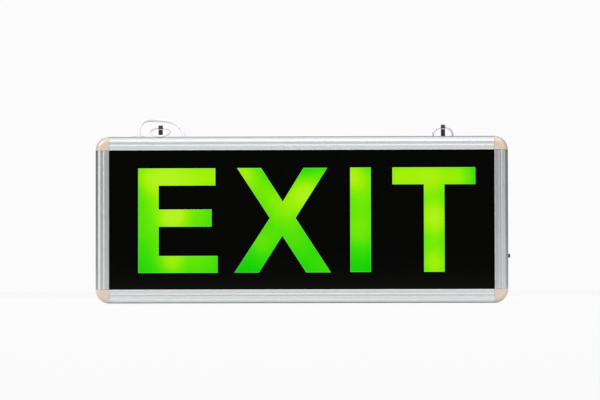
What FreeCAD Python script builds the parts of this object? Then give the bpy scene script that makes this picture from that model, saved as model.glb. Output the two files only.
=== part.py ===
import FreeCAD, Part
import math
import os

import Sketcher
from FreeCAD import Placement, Rotation, Vector

# Driving dimensions: millimetres, and degrees where the name ends in "tilt".
DRIVING = {
    # the whole sign: it faces -Y and stands on its bottom rail at Z = 0
    "sign_width": 360.0,
    "sign_height": 145.5,
    "sign_depth": 25.0,
    # the extruded rail, measured from its outer face inward and across its depth
    "rail_face": 12.0,
    "rail_wall": 1.4,
    "edge_radius": 4.5,
    "groove_centre": 5.0,
    "groove_width": 0.4,
    "groove_depth": 0.4,
    "band_drop": 0.25,
    "cove_radius": 2.7,
    "bead_centre": 8.0,
    "bead_half_width": 0.35,
    "bead_radius": 0.4,
    "lip_radius": 0.5,
    "slot_floor": 4.0,
    "slot_width": 3.0,
    "rib_thickness": 1.0,
    "rib_reach": 9.5,
    "seam_gap": 0.15,
    # the moulded corner cap
    "cap_slot_reach": 8.6,
    "tenon_length": 12.0,
    "tenon_play": 0.2,
    "tenon_reach": 8.5,
    "tenon_wall": 1.6,
    # the sheets held in the rails' slots
    "panel_overlap": 5.5,
    "legend_thickness": 2.0,
    "diffuser_thickness": 0.8,
    "sheet_play": 0.05,
    "rear_thickness": 2.8,
    # light boards and lights
    "board_thickness": 1.2,
    "side_board_offset": 114.0,
    "side_board_width": 9.0,
    "side_board_length": 96.0,
    "side_board_foot": 26.0,
    "top_board_centre": 2.0,
    "top_board_level": 98.0,
    "top_board_width": 30.0,
    "top_board_height": 10.0,
    "light_side": 5.0,
    "light_height": 1.6,
    "light_lens_radius": 2.0,
    "light_lens_rise": 0.4,
    "light_low": 37.0,
    "light_middle": 75.0,
    "light_high": 110.0,
    # battery pack and its clip
    "cell_radius": 7.0,
    "pack_length": 50.0,
    "pack_left": -60.0,
    "pack_foot": 19.0,
    "clip_width": 12.0,
    "clip_thickness": 0.6,
    "clip_play": 0.1,
    "clip_foot": 4.0,
    # driver board and what it carries
    "driver_left": -2.0,
    "driver_foot": 14.5,
    "driver_width": 50.0,
    "driver_height": 42.0,
    "driver_thickness": 1.6,
    "standoff_height": 3.0,
    "standoff_radius": 2.5,
    "screw_inset": 4.0,
    "screw_hole_radius": 1.4,
    "screw_radius": 1.2,
    "screw_head_radius": 2.3,
    "screw_head_height": 1.4,
    "core_left": 16.0,
    "core_foot": 12.0,
    "core_width": 17.0,
    "core_height": 15.0,
    "core_rise": 8.0,
    "windings_left": 19.0,
    "windings_foot": 9.5,
    "windings_width": 11.0,
    "windings_height": 20.0,
    "windings_rise": 9.0,
    "film_left": 8.0,
    "film_foot": 30.5,
    "film_width": 16.0,
    "film_height": 7.5,
    "film_rise": 8.5,
    "film_chamfer": 1.0,
    "can_left": 40.0,
    "can_foot": 22.0,
    "can_radius": 4.0,
    "can_rise": 9.0,
    "can_chamfer": 0.8,
    "terminal_left": 1.0,
    "terminal_foot": 9.0,
    "terminal_width": 8.0,
    "terminal_height": 12.0,
    "terminal_rise": 8.0,
    "way_radius": 1.3,
    "way_depth": 6.0,
    "way_rise": 3.0,
    "way_pitch": 6.0,
    # test button, its switch and the two lamps in the right rail
    "button_level": 41.0,
    "button_radius": 1.7,
    "button_proud": 2.0,
    "button_flange_radius": 2.7,
    "button_flange": 0.7,
    "button_play": 0.2,
    "button_chamfer": 0.4,
    "plunger_radius": 1.2,
    "plunger_length": 2.4,
    "switch_side": 6.0,
    "switch_face": 3.5,
    "switch_thickness": 3.5,
    "switch_bore_depth": 2.7,
    "switch_board_width": 12.0,
    "switch_board_length": 40.0,
    "lamp_radius": 1.5,
    "lamp_pitch": 8.0,
    "lamp_recess": 0.4,
    "lamp_chamfer": 0.7,
    # hangers on the top rail
    "hanger_offset": 123.9,
    "hanger_depth": 5.0,
    "strap_width": 3.7,
    "strap_thickness": 0.6,
    "strap_parting": 0.2,
    "strap_foot": 1.9,
    "roll_height": 8.5,
    "roll_bore": 1.5,
    "ring_radius": 8.6,
    "ring_wire": 0.9,
    "forward_tilt": 27.5,
    "backward_tilt": 52.0,
    # cord and its grommet
    "cord_radius": 1.5,
    "lead_radius": 0.6,
    "grommet_offset": 143.0,
    "grommet_depth": 1.5,
    "grommet_radius": 5.5,
    "grommet_height": 1.1,
    "grommet_neck": 4.0,
    "grommet_barb_radius": 4.9,
    "grommet_barb": 1.6,
    "coil_inner_turn": 15.5,
    "coil_outer_turn": 18.6,
    "coil_slack": 0.05,
    "coil_tail": 24.0,
    "coil_centre_across": -66.0,
    "coil_centre_depth": 36.0,
    "core_radius": 0.6,
    "core_spread": 0.7,
    "core_length": 22.0,
    "wire_radius": 0.35,
    "strip_length": 6.0,
}

TOUCHING = 0.01  # an edge this near to a level lies at it

doc = FreeCAD.newDocument("exit_light")
sheet = doc.addObject("Spreadsheet::Sheet", "Sizes")
nodes = []


class Size:
    """A number together with the spreadsheet expression that gives it."""

    def __init__(self, number, text):
        self.number = number
        self.text = text

    def __neg__(self):
        return Size(-self.number, f"(-1 * {self.text})")

    def __add__(self, other):
        other = sized(other)
        return Size(self.number + other.number, f"({self.text} + {other.text})")

    def __sub__(self, other):
        other = sized(other)
        return Size(self.number - other.number, f"({self.text} - {other.text})")

    def __mul__(self, factor):
        return Size(self.number * factor, f"({self.text} * {factor})")

    def __truediv__(self, divisor):
        return Size(self.number / divisor, f"({self.text} / {divisor})")


def sized(value):
    """value as a Size; a plain number becomes an expression of itself."""
    if isinstance(value, Size):
        return value
    return Size(float(value), f"({float(value)})")


def root_of_difference(long_side, short_side):
    """The third side of a right triangle, from its longest side and one other."""
    number = math.sqrt(long_side.number**2 - short_side.number**2)
    text = f"sqrt({long_side.text}^2 - {short_side.text}^2)"
    return Size(number, text)


def fill_sheet():
    """Writes the driving dimensions as plain numbers with aliases."""
    for row, (alias, number) in enumerate(DRIVING.items(), start=1):
        sheet.set(f"A{row}", alias)
        sheet.set(f"B{row}", str(number))
        sheet.setAlias(f"B{row}", alias)
    doc.recompute()


def size(alias):
    """A driving dimension by its alias."""
    return Size(DRIVING[alias], f"Sizes.{alias}")


def bind(thing, **properties):
    """Sets properties of a document object by expressions."""
    for name, value in properties.items():
        thing.setExpression(name, sized(value).text)


def place(thing, across, deep, up, rotation=None):
    """Puts an object at a point that follows the spreadsheet."""
    point = [sized(value) for value in (across, deep, up)]
    numbers = Vector(*[value.number for value in point])
    thing.Placement = Placement(numbers, rotation or Rotation())
    for letter, value in zip("xyz", point):
        thing.setExpression(f"Placement.Base.{letter}", value.text)
    return thing


def keep(thing, label):
    """Names a finished piece: its label becomes its file's name."""
    thing.Label = label
    nodes.append(thing)
    return thing


# ---------------------------------------------------------------- building blocks

# Turns that carry a solid's own Z axis to a direction of the sign.
ALONG_X = Rotation(Vector(0, 1, 0), 90)
AGAINST_X = Rotation(Vector(0, 1, 0), -90)
ALONG_Y = Rotation(Vector(1, 0, 0), -90)
AGAINST_Y = Rotation(Vector(1, 0, 0), 90)


def box(name, corner, lengths):
    """A block from its lowest corner and its three lengths."""
    block = doc.addObject("Part::Box", name)
    bind(block, Length=lengths[0], Width=lengths[1], Height=lengths[2])
    return place(block, *corner)


def cylinder(name, foot, radius, height, rotation=None):
    """A cylinder that grows from its foot along its own Z axis."""
    rod = doc.addObject("Part::Cylinder", name)
    bind(rod, Radius=radius, Height=height)
    return place(rod, *foot, rotation)


def fuse(name, pieces):
    """One solid of several that touch."""
    whole = doc.addObject("Part::MultiFuse", name)
    whole.Shapes = pieces
    return whole


def group(name, pieces):
    """Separate solids kept together as one node."""
    bundle = doc.addObject("Part::Compound", name)
    bundle.Links = pieces
    return bundle


def cut(name, base, tools):
    """base with every tool taken out of it."""
    result = doc.addObject("Part::Cut", name)
    result.Base = base
    result.Tool = tools[0] if len(tools) == 1 else group(f"{name}_tools", tools)
    return result


def origin_plane(body, role):
    """One of a body's own origin planes, found by its role."""
    for feature in body.Origin.OriginFeatures:
        if feature.Role == role:
            return feature
    raise ValueError(f"{body.Label} has no {role}")


def arc_between(start, end, radius, turn, large):
    """An arc from start to end; turn is 1 anticlockwise and -1 clockwise."""
    chord = end - start
    rise = math.sqrt(max(radius**2 - chord.Length**2 / 4, 0))
    side = turn * (-1 if large else 1)
    centre = (start + end) / 2 + Vector(-chord.y, chord.x, 0).normalize() * rise * side
    first, last = (start, end) if turn > 0 else (end, start)
    angles = [math.atan2(p.y - centre.y, p.x - centre.x) for p in (first, last)]
    if angles[1] < angles[0]:
        angles[1] += 2 * math.pi
    circle = Part.Circle(centre, Vector(0, 0, 1), radius)
    return Part.ArcOfCircle(circle, *angles)


def pin(sketch_constraints, expressions, number, end, corner):
    """Ties one end of a sketch edge to its two coordinates."""
    for kind, axis, value in (("DistanceX", -2, corner[0]), ("DistanceY", -1, corner[1])):
        value = sized(value)
        if abs(value.number) < 1e-9:
            sketch_constraints.append(Sketcher.Constraint("PointOnObject", number, end, axis))
            continue
        expressions[len(sketch_constraints)] = value.text
        sketch_constraints.append(Sketcher.Constraint(kind, -1, 1, number, end, value.number))


def outline(body, name, plane, corners):
    """A closed, fully tied sketch.

    A corner is (across, up). Where an arc runs from it to the next corner, it is (across, up, radius,
    turn), and for the larger of the two arcs (across, up, radius, turn, True).
    """
    sketch = body.newObject("Sketcher::SketchObject", name)
    sketch.AttachmentSupport = (origin_plane(body, plane), [""])
    sketch.MapMode = "FlatFace"
    points = [Vector(sized(c[0]).number, sized(c[1]).number, 0) for c in corners]
    edges, ends = [], []
    for index, corner in enumerate(corners):
        start, end = points[index], points[(index + 1) % len(points)]
        if len(corner) == 2:
            edges.append(Part.LineSegment(start, end))
            ends.append((1, 2))
        else:
            radius, turn = sized(corner[2]), corner[3]
            edges.append(arc_between(start, end, radius.number, turn, len(corner) == 5))
            ends.append((1, 2) if turn > 0 else (2, 1))
    constraints, expressions = [], {}
    for index, corner in enumerate(corners):
        before = (index - 1) % len(corners)
        constraints.append(
            Sketcher.Constraint("Coincident", before, ends[before][1], index, ends[index][0])
        )
        pin(constraints, expressions, index, ends[index][0], corner)
        if len(corner) > 2:
            radius = sized(corner[2])
            expressions[len(constraints)] = radius.text
            constraints.append(Sketcher.Constraint("Radius", index, radius.number))
    sketch.addGeometry(edges)
    sketch.addConstraint(constraints)
    for index, text in expressions.items():
        sketch.setExpression(f"Constraints[{index}]", text)
    return sketch


def body(name):
    """An empty PartDesign body."""
    return doc.addObject("PartDesign::Body", name)


def pad(owner, sketch, length):
    """The sketch drawn out along its plane's normal."""
    feature = owner.newObject("PartDesign::Pad", f"{sketch.Name}_pad")
    feature.Profile = sketch
    bind(feature, Length=length)
    sketch.Visibility = False
    return feature


def revolve(owner, sketch, angle, reverse=False):
    """The sketch turned about its own vertical axis."""
    feature = owner.newObject("PartDesign::Revolution", f"{sketch.Name}_revolution")
    feature.Profile = sketch
    feature.ReferenceAxis = (sketch, ["V_Axis"])
    feature.Angle = angle
    feature.Reversed = reverse
    return feature


# ---------------------------------------------------------------- frame

def mirrored(corners):
    """The corners reflected to the far side of the depth, in reverse order, with their arcs."""
    result = []
    for index in range(len(corners) - 1, -1, -1):
        across, up = corners[index][:2]
        arc = tuple(corners[index - 1][2:]) if index else ()
        result.append((across, -up) + arc)
    return result


def face_profile():
    """The moulded face of the rail, from the outer side to the lip, on the front half.

    The first coordinate runs inward from the outer side, and the second runs from front to back.
    """
    half = size("sign_depth") / 2
    band = half - size("band_drop")
    edge, lip = size("edge_radius"), size("lip_radius")
    groove, groove_half = size("groove_centre"), size("groove_width") / 2
    bead, bead_half = size("bead_centre"), size("bead_half_width")
    groove_floor = -half + size("groove_depth")
    return [
        (0, -half + edge, edge, 1),
        (edge, -half),
        (groove - groove_half, -half),
        (groove - groove_half, groove_floor),
        (groove + groove_half, groove_floor),
        (groove + groove_half, -band, size("cove_radius"), -1),
        (bead - bead_half, -band, size("bead_radius"), 1),
        (bead + bead_half, -band),
        (size("rail_face") - lip, -band, lip, 1),
        (size("rail_face"), -band + lip),
    ]


def slot_sides():
    """The outer and inner faces of a panel slot, as distances from mid-depth."""
    outer = size("sign_depth") / 2 - size("rail_wall")
    return outer, outer - size("slot_width")


def rail_outline():
    """The extrusion: a wall, two moulded faces, two panel slots and the ribs behind them."""
    slot_outer, slot_inner = slot_sides()
    rib_back = slot_inner - size("rib_thickness")
    front = face_profile() + [
        (size("rail_face"), -slot_outer),
        (size("slot_floor"), -slot_outer),
        (size("slot_floor"), -slot_inner),
        (size("rib_reach"), -slot_inner),
        (size("rib_reach"), -rib_back),
        (size("rail_wall"), -rib_back),
    ]
    return front + mirrored(front)


def rail(name, length):
    """A length of the extrusion, standing on its end."""
    bar = body(name)
    pad(bar, outline(bar, f"{name}_profile", "XY_Plane", rail_outline()), length)
    return bar


def build_rails():
    """Four rails: the top one with slots for the hangers and a hole for the cord, the right one
    with holes for the button and the lamps."""
    half_width, height = size("sign_width") / 2, size("sign_height")
    face, gap, wall = size("rail_face"), size("seam_gap"), size("rail_wall")
    across = size("sign_width") - face * 2 - gap * 2
    upright = height - face * 2 - gap * 2
    start = half_width - face - gap

    bottom = place(rail("bottom_bar", across), start, 0, 0, AGAINST_X)
    keep(bottom, "bottom_rail")
    left = place(rail("left_bar", upright), -half_width, 0, face + gap)
    keep(left, "left_rail")

    top = place(rail("top_bar", across), -start, 0, height, ALONG_X)
    play = size("strap_parting")
    slot_length = size("strap_width") + play * 2
    slot_width = size("strap_thickness") * 2 + play * 3
    tools = []
    for side, sign in (("left", -1), ("right", 1)):
        corner = (
            size("hanger_offset") * sign - slot_length / 2,
            size("hanger_depth") - slot_width / 2,
            height - wall * 2,
        )
        tools.append(box(f"hanger_slot_{side}", corner, (slot_length, slot_width, wall * 3)))
    bore_foot = (-size("grommet_offset"), size("grommet_depth"), height - wall * 2)
    tools.append(cylinder("cord_bore", bore_foot, size("grommet_neck"), wall * 3))
    keep(cut("top_rail_cut", top, tools), "top_rail")

    half_turn = Rotation(Vector(0, 0, 1), 180)
    right = place(rail("right_bar", upright), half_width, 0, face + gap, half_turn)
    level, depth = size("button_level"), wall * 3
    button_bore = size("button_radius") + size("button_play")
    lamp_bore = size("lamp_radius") + size("button_play") / 2
    bores = [cylinder("button_bore", (half_width - wall * 2, 0, level), button_bore, depth, ALONG_X)]
    for name, steps in (("charge", 1), ("fault", 2)):
        foot = (half_width - wall * 2, 0, level + size("lamp_pitch") * steps)
        bores.append(cylinder(f"{name}_bore", foot, lamp_bore, depth, ALONG_X))
    keep(cut("right_rail_cut", right, bores), "right_rail")


def cap_outline():
    """The cap's section: a smooth face with rounded edges, two panel slots and a solid core."""
    slot_outer, slot_inner = slot_sides()
    half, reach = size("sign_depth") / 2, size("cap_slot_reach")
    side, edge = -size("rail_face"), size("edge_radius")
    front = [
        (side, -half + edge, edge, 1),
        (side + edge, -half),
        (0, -half),
        (0, -slot_outer),
        (-reach, -slot_outer),
        (-reach, -slot_inner),
        (0, -slot_inner),
    ]
    return front + mirrored(front)


def tenon_outline(swap):
    """The channel that plugs a rail's cavity, open to the inside of the sign."""
    slot_inner = slot_sides()[1]
    half = slot_inner - size("rib_thickness") - size("tenon_play")
    wall = size("tenon_wall")
    back = size("rail_wall") + size("tenon_play") - size("rail_face")
    mouth = size("tenon_reach") - size("rail_face")
    corners = [
        (back, -half),
        (mouth, -half),
        (mouth, wall - half),
        (back + wall, wall - half),
        (back + wall, half - wall),
        (mouth, half - wall),
        (mouth, half),
        (back, half),
    ]
    return [(up, across) for across, up in corners] if swap else corners


def build_caps():
    """Four copies of one moulding, each turned about the inner corner of the frame."""
    across = size("sign_width") / 2 - size("rail_face")
    low, high = size("rail_face"), size("sign_height") - size("rail_face")
    length = size("tenon_length")
    corners = (
        ("bottom_left", -across, low, 0),
        ("top_left", -across, high, 90),
        ("top_right", across, high, 180),
        ("bottom_right", across, low, -90),
    )
    for name, x, z, angle in corners:
        cap = body(f"cap_{name}")
        revolve(cap, outline(cap, f"{name}_profile", "XY_Plane", cap_outline()), 90, reverse=True)
        pad(cap, outline(cap, f"{name}_upright_tenon", "XY_Plane", tenon_outline(False)), length)
        pad(cap, outline(cap, f"{name}_level_tenon", "YZ_Plane", tenon_outline(True)), length)
        place(cap, x, 0, z, Rotation(Vector(0, 1, 0), angle))
        keep(cap, f"corner_cap_{name}")


# ---------------------------------------------------------------- sheets and lights

def build_sheets():
    """Legend panel and diffuser share the front slot; the rear panel fills the back one."""
    overlap, face = size("panel_overlap"), size("rail_face")
    width = size("sign_width") - face * 2 + overlap * 2
    height = size("sign_height") - face * 2 + overlap * 2
    left, foot = -width / 2, face - overlap
    slot_outer, slot_inner = slot_sides()
    play = size("sheet_play")
    legend = (left, play - slot_outer, foot)
    keep(box("legend", legend, (width, size("legend_thickness"), height)), "legend_panel")
    diffuser = (left, play * 2 + size("legend_thickness") - slot_outer, foot)
    keep(box("diffuser", diffuser, (width, size("diffuser_thickness"), height)), "diffuser_sheet")
    rear = (left, slot_inner + play * 2, foot)
    keep(box("rear", rear, (width, size("rear_thickness"), height)), "rear_panel")


def rear_face():
    """The depth of the rear panel's inner face, which carries everything inside."""
    return slot_sides()[1] + size("sheet_play") * 2


def light(name, across, level):
    """A square light package on its board, with a round lens aimed at the legend."""
    board_face = rear_face() - size("board_thickness")
    side, height = size("light_side"), size("light_height")
    corner = (across - side / 2, board_face - height, level - side / 2)
    package = box(f"{name}_package", corner, (side, height, side))
    lens = cylinder(
        f"{name}_lens",
        (across, board_face, level),
        size("light_lens_radius"),
        height + size("light_lens_rise"),
        AGAINST_Y,
    )
    return fuse(name, [package, lens])


def build_lights():
    """Two upright boards of three lights and a short top board of one."""
    thickness = size("board_thickness")
    front = rear_face() - thickness
    lights = []
    for side, sign in (("left", -1), ("right", 1)):
        centre = size("side_board_offset") * sign
        width = size("side_board_width")
        corner = (centre - width / 2, front, size("side_board_foot"))
        board = box(f"{side}_board", corner, (width, thickness, size("side_board_length")))
        keep(board, f"led_board_{side}")
        for level in ("low", "middle", "high"):
            lights.append(light(f"{side}_{level}_light", centre, size(f"light_{level}")))
    width, height = size("top_board_width"), size("top_board_height")
    corner = (
        size("top_board_centre") - width / 2,
        front,
        size("top_board_level") - height / 2,
    )
    keep(box("top_board", corner, (width, thickness, height)), "led_board_top")
    lights.append(light("top_light", size("top_board_centre"), size("top_board_level")))
    keep(group("light_group", lights), "leds")


# ---------------------------------------------------------------- battery and driver

def pack_centres():
    """The pack's depth and the levels of its lowest and highest cell."""
    radius = size("cell_radius")
    deep = rear_face() - radius
    low = size("pack_foot") + radius
    return deep, low, low + radius * 4


def build_battery():
    """Three cells in one shrunk sleeve, and the sprung clip that holds them to the rear panel."""
    radius = size("cell_radius")
    deep, low, high = pack_centres()
    sleeve = body("sleeve")
    corners = [
        (deep - radius, high),
        (deep - radius, low, radius, 1),
        (deep, low - radius, radius, 1),
        (deep + radius, low),
        (deep + radius, high, radius, 1),
        (deep, high + radius, radius, 1),
    ]
    pad(sleeve, outline(sleeve, "sleeve_section", "YZ_Plane", corners), size("pack_length"))
    place(sleeve, size("pack_left"), 0, 0)
    keep(sleeve, "battery_pack")

    clip = body("clip")
    inner = radius + size("clip_play")
    outer = inner + size("clip_thickness")
    wall, foot, back = size("clip_thickness"), size("clip_foot"), rear_face()
    corners = [
        (deep - outer, high),
        (deep - outer, low, outer, 1),
        (deep, low - outer),
        (back - wall, low - outer),
        (back - wall, low - outer - foot),
        (back, low - outer - foot),
        (back, low - inner),
        (deep, low - inner, inner, -1),
        (deep - inner, low),
        (deep - inner, high, inner, -1),
        (deep, high + inner),
        (back, high + inner),
        (back, high + outer + foot),
        (back - wall, high + outer + foot),
        (back - wall, high + outer),
        (deep, high + outer, outer, 1),
    ]
    pad(clip, outline(clip, "clip_section", "YZ_Plane", corners), size("clip_width"))
    place(clip, size("pack_left") + size("pack_length") / 2 - size("clip_width") / 2, 0, 0)
    keep(clip, "battery_clip")


def driver_front():
    """The depth of the driver board's component side."""
    return rear_face() - size("standoff_height") - size("driver_thickness")


def screw_points():
    """Where the driver board is held: across and level of its four corners."""
    inset = size("screw_inset")
    left, foot = size("driver_left"), size("driver_foot")
    right, top = left + size("driver_width"), foot + size("driver_height")
    return [(x, z) for x in (left + inset, right - inset) for z in (foot + inset, top - inset)]


def build_driver():
    """The driver board on four standoffs, held by four screws."""
    front, thickness = driver_front(), size("driver_thickness")
    corner = (size("driver_left"), front, size("driver_foot"))
    blank = box("driver_blank", corner, (size("driver_width"), thickness, size("driver_height")))
    holes, standoffs, screws = [], [], []
    for number, (x, z) in enumerate(screw_points(), start=1):
        hole_foot = (x, front - thickness, z)
        holes.append(
            cylinder(f"hole_{number}", hole_foot, size("screw_hole_radius"), thickness * 3, ALONG_Y)
        )
        foot = (x, front + thickness, z)
        post = cylinder(
            f"post_{number}", foot, size("standoff_radius"), size("standoff_height"), ALONG_Y
        )
        thread = cylinder(
            f"thread_{number}", foot, size("screw_radius"), size("standoff_height"), ALONG_Y
        )
        standoffs.append(cut(f"standoff_{number}", post, [thread]))
        head_height = size("screw_head_height")
        head = cylinder(
            f"head_{number}", (x, front - head_height, z), size("screw_head_radius"), head_height, ALONG_Y
        )
        shank = cylinder(
            f"shank_{number}",
            (x, front - head_height, z),
            size("screw_radius"),
            head_height + thickness + size("standoff_height") / 2,
            ALONG_Y,
        )
        screws.append(fuse(f"screw_{number}", [head, shank]))
    keep(cut("driver_cut", blank, holes), "driver_board")
    keep(group("standoff_group", standoffs), "board_standoffs")
    keep(group("screw_group", screws), "board_screws")


def on_board(part):
    """A block standing on the driver board's component side, with its own five sizes."""
    width, height, rise = (size(f"{part}_{name}") for name in ("width", "height", "rise"))
    left = size("driver_left") + size(f"{part}_left")
    foot = size("driver_foot") + size(f"{part}_foot")
    return box(f"{part}_blank", (left, driver_front() - rise, foot), (width, rise, height))


def eased(name, base, chamfer, axis, level):
    """base with a chamfer on the edges that lie at a level along the axis."""
    doc.recompute()
    feature = doc.addObject("Part::Chamfer", name)
    feature.Base = base
    chosen = [
        number
        for number, edge in enumerate(base.Shape.Edges, start=1)
        if all(abs(getattr(v, axis) - level.number) < TOUCHING for v in edge.Vertexes)
    ]
    feature.Edges = [(number, chamfer.number, chamfer.number) for number in chosen]
    return feature


def build_components():
    """Transformer, mains capacitor, smoothing capacitor and terminal block on the driver board."""
    front = driver_front()
    keep(fuse("transformer_fuse", [on_board("core"), on_board("windings")]), "transformer")

    film_face = front - size("film_rise")
    film = eased("film_eased", on_board("film"), size("film_chamfer"), "Y", film_face)
    keep(film, "mains_capacitor")

    left, foot = size("driver_left"), size("driver_foot")
    can_foot = (left + size("can_left"), front, foot + size("can_foot"))
    can = cylinder("can", can_foot, size("can_radius"), size("can_rise"), AGAINST_Y)
    can_end = front - size("can_rise")
    keep(eased("can_eased", can, size("can_chamfer"), "Y", can_end), "smoothing_capacitor")

    ways = []
    middle = foot + size("terminal_foot") + size("terminal_height") / 2
    for number, step in enumerate((-1, 1), start=1):
        level = middle + size("way_pitch") / 2 * step
        mouth = (left, front - size("way_rise"), level)
        ways.append(cylinder(f"way_{number}", mouth, size("way_radius"), size("way_depth"), ALONG_X))
    keep(cut("terminal_cut", on_board("terminal"), ways), "terminal_block")


# ---------------------------------------------------------------- test button

def build_test_switch():
    """The button in the right rail, the plunger it drives, the switch and its board, and two lamps."""
    outer, level = size("sign_width") / 2, size("button_level")
    wall, proud, flange = size("rail_wall"), size("button_proud"), size("button_flange")
    flange_outer = outer - wall - size("button_play") / 2
    flange_inner = flange_outer - flange
    stem_length = outer + proud - flange_inner
    foot = (flange_inner, 0, level)
    stem = cylinder("button_stem", foot, size("button_radius"), stem_length, ALONG_X)
    tip = eased("button_tip", stem, size("button_chamfer"), "X", outer + proud)
    collar = cylinder(
        "button_collar", (flange_inner, 0, level), size("button_flange_radius"), flange, ALONG_X
    )
    keep(fuse("button_fuse", [tip, collar]), "test_button")

    plunger = cylinder(
        "plunger", (flange_inner, 0, level), size("plunger_radius"), size("plunger_length"), AGAINST_X
    )
    keep(plunger, "switch_plunger")

    side = size("switch_side")
    front = outer - size("switch_face")
    back = front - size("switch_thickness")
    housing = box(
        "switch_housing", (back, -side / 2, level - side / 2), (size("switch_thickness"), side, side)
    )
    bore = cylinder(
        "switch_bore",
        (front - size("switch_bore_depth"), 0, level),
        size("plunger_radius") + size("button_play"),
        size("switch_bore_depth") * 2,
        ALONG_X,
    )
    keep(cut("switch_cut", housing, [bore]), "test_switch")

    width, length = size("switch_board_width"), size("switch_board_length")
    corner = (back - size("board_thickness"), -width / 2, level - length / 4)
    keep(box("switch_card", corner, (size("board_thickness"), width, length)), "switch_board")

    lamp_end = outer - size("lamp_recess")
    for name, steps in (("charge", 1), ("fault", 2)):
        centre = (back, 0, level + size("lamp_pitch") * steps)
        barrel = cylinder(
            f"{name}_barrel", centre, size("lamp_radius"), lamp_end - back, ALONG_X
        )
        keep(eased(f"{name}_eased", barrel, size("lamp_chamfer"), "X", lamp_end), f"{name}_lamp")


# ---------------------------------------------------------------- hangers

def strap_outline():
    """A strip folded round the ring: a roll, two plies and two feet bent out under the rail's wall."""
    parting, thickness = size("strap_parting") / 2, size("strap_thickness")
    ply = parting + thickness
    bore, centre = size("roll_bore"), size("roll_height")
    outside = bore + thickness
    neck_outer = centre - root_of_difference(outside, ply)
    neck_inner = centre - root_of_difference(bore, parting)
    foot_top = -size("rail_wall") - size("strap_parting") / 2
    foot_end, foot_low = size("strap_foot"), foot_top - thickness
    return [
        (-foot_end, foot_top),
        (-ply, foot_top),
        (-ply, neck_outer, outside, -1, True),
        (ply, neck_outer),
        (ply, foot_top),
        (foot_end, foot_top),
        (foot_end, foot_low),
        (parting, foot_low),
        (parting, neck_inner, bore, 1, True),
        (-parting, neck_inner),
        (-parting, foot_low),
        (-foot_end, foot_low),
    ]


def build_hangers():
    """Two straps in the top rail and the two rings that swing in them."""
    height, deep = size("sign_height"), size("hanger_depth")
    pivot = height + size("roll_height")
    tilts = (("left", -1, -1, "forward_tilt"), ("right", 1, 1, "backward_tilt"))
    for side, sign, leans, tilt_name in tilts:
        centre = size("hanger_offset") * sign
        strap = body(f"{side}_strap")
        width = size("strap_width")
        pad(strap, outline(strap, f"{side}_strip", "YZ_Plane", strap_outline()), width)
        place(strap, centre - width / 2, deep, height)
        keep(strap, f"hanger_strap_{side}")

        tilt = size(tilt_name)
        radius = size("ring_radius")
        level = Size(
            radius.number * math.cos(math.radians(tilt.number)),
            f"({radius.text} * cos({tilt.text} * 1 deg))",
        )
        drop = Size(
            radius.number * math.sin(math.radians(tilt.number)),
            f"({radius.text} * sin({tilt.text} * 1 deg))",
        )
        ring = doc.addObject("Part::Torus", f"{side}_ring")
        bind(ring, Radius1=radius, Radius2=size("ring_wire"))
        turn = tilt * (-leans)
        spin = Rotation(Vector(1, 0, 0), turn.number)
        place(ring, centre, deep + level * leans, pivot - drop, spin)
        keep(ring, f"hanger_ring_{side}")


# ---------------------------------------------------------------- cord

# Hand-chosen corners of the cord outside the sign, from the grommet to the coil, in millimetres.
CORD_ROUTE = [
    (-143.0, 1.5, 146.6),
    (-143.0, 1.5, 150.8),
    (-142.3, 3.0, 154.8),
    (-140.9, 6.1, 158.0),
    (-138.6, 10.6, 160.1),
    (-135.6, 16.2, 161.2),
    (-131.6, 22.4, 161.6),
    (-125.6, 27.0, 161.7),
    (-118.2, 28.4, 161.3),
    (-111.2, 27.6, 158.6),
    (-106.2, 26.2, 153.2),
    (-103.6, 24.6, 145.4),
    (-102.6, 22.8, 131.5),
    (-102.8, 21.0, 104.5),
    (-103.8, 20.2, 68.5),
    (-102.8, 19.7, 40.5),
    (-101.4, 19.2, 22.5),
    (-98.8, 19.1, 12.8),
    (-93.5, 19.0, 6.7),
    (-87.0, 18.95, 4.07),
    (-79.5, 18.95, 4.07),
]

# Hand-chosen corners of the cord inside the sign, from the grommet down to the terminal block.
INNER_ROUTE = [
    (-143.0, 1.5, 146.6),
    (-143.0, 1.5, 128.0),
    (-146.0, 1.0, 100.0),
    (-149.0, 1.0, 66.0),
    (-144.0, 1.0, 38.0),
    (-126.0, 1.0, 18.0),
    (-100.0, 1.0, 9.5),
    (-70.0, -1.0, 8.0),
    (-40.0, -1.0, 8.5),
    (-18.0, -1.0, 10.0),
    (-7.5, -0.6, 17.0),
    (-5.6, -0.2, 29.0),
]

# Hand-chosen corners of the thin leads that end on the driver board, in millimetres.
LEAD_ROUTES = {
    "battery_lead": [(-10.0, 0.0, 44.0), (1.5, 0.0, 44.0), (1.5, 3.6, 44.0)],
    "left_lights_lead": [
        (-109.5, 7.55, 70.0),
        (8.0, 7.55, 70.0),
        (8.0, 7.2, 63.0),
        (8.0, 4.4, 60.5),
        (8.0, 4.4, 56.5),
    ],
    "top_light_lead": [
        (14.0, 7.55, 93.0),
        (14.0, 7.55, 80.0),
        (14.0, 7.2, 63.0),
        (14.0, 4.4, 60.5),
        (14.0, 4.4, 56.5),
    ],
    "right_lights_lead": [
        (109.5, 7.55, 70.0),
        (41.0, 7.55, 70.0),
        (41.0, 7.2, 63.0),
        (41.0, 4.4, 60.5),
        (41.0, 4.4, 56.5),
    ],
    "switch_lead": [
        (171.8, 3.5, 35.0),
        (166.0, 3.5, 35.0),
        (154.0, 7.3, 22.0),
        (62.0, 7.3, 22.0),
        (54.0, 4.4, 24.0),
        (48.0, 4.4, 24.0),
    ],
}
SMOOTH, MITRED = 0, 1  # the pipe shell's own numbers for its kinds of corner
ROUTE_SHARE = 0.45  # an arc starts this far along the shorter of the two runs that it joins


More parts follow.
